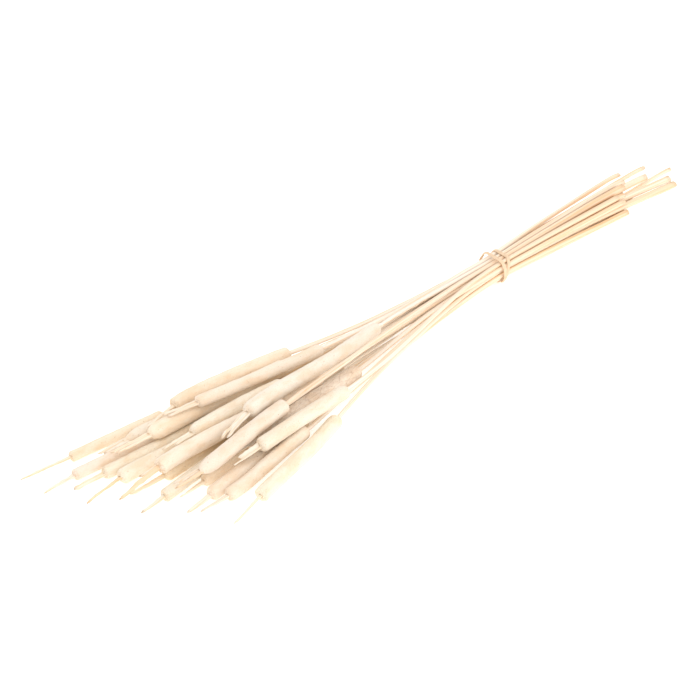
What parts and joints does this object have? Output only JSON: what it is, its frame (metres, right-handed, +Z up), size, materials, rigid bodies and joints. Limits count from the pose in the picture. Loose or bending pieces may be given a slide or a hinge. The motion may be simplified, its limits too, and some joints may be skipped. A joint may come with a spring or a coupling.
{
  "type": "bunch of cattail stalks",
  "caption": "Tied bunch of bleached cattail stalks lying on its side, felted heads fanned out at one end and cut stems at the other.",
  "frame": {"origin": "centre of the bounding box's underside, on the surface that the bunch lies on", "axes": "+X along the bunch from the flower heads to the cut stem ends, +Z up from the surface, +Y across the fan"},
  "size_m": [0.8364, 0.2102, 0.0467],
  "materials": {
    "straw_cream": "matte bleached straw and felt",
    "straw_honey": "matte bleached straw and felt",
    "straw_peach": "matte bleached straw and felt",
    "straw_yellow": "matte bleached straw and felt",
    "straw_grey": "matte bleached straw and felt",
    "band": "satin natural rubber"
  },
  "bodies": {
    "root": {"stalk_01": "straw_honey", "stalk_02": "straw_honey", "stalk_03": "straw_cream", "stalk_04": "straw_peach", "stalk_05": "straw_cream", "stalk_06": "straw_cream", "stalk_07": "straw_honey", "stalk_08": "straw_cream", "stalk_09": "straw_honey", "stalk_10": "straw_peach", "stalk_11": "straw_peach", "stalk_12": "straw_yellow", "stalk_13": "straw_honey", "stalk_14": "straw_cream", "stalk_15": "straw_peach", "stalk_16": "straw_grey", "stalk_17": "straw_peach", "stalk_18": "straw_cream", "stalk_19": "straw_peach", "stalk_20": "straw_peach", "stalk_21": "straw_cream", "stalk_22": "straw_peach", "tie": "band"}
  },
  "joints": []
}
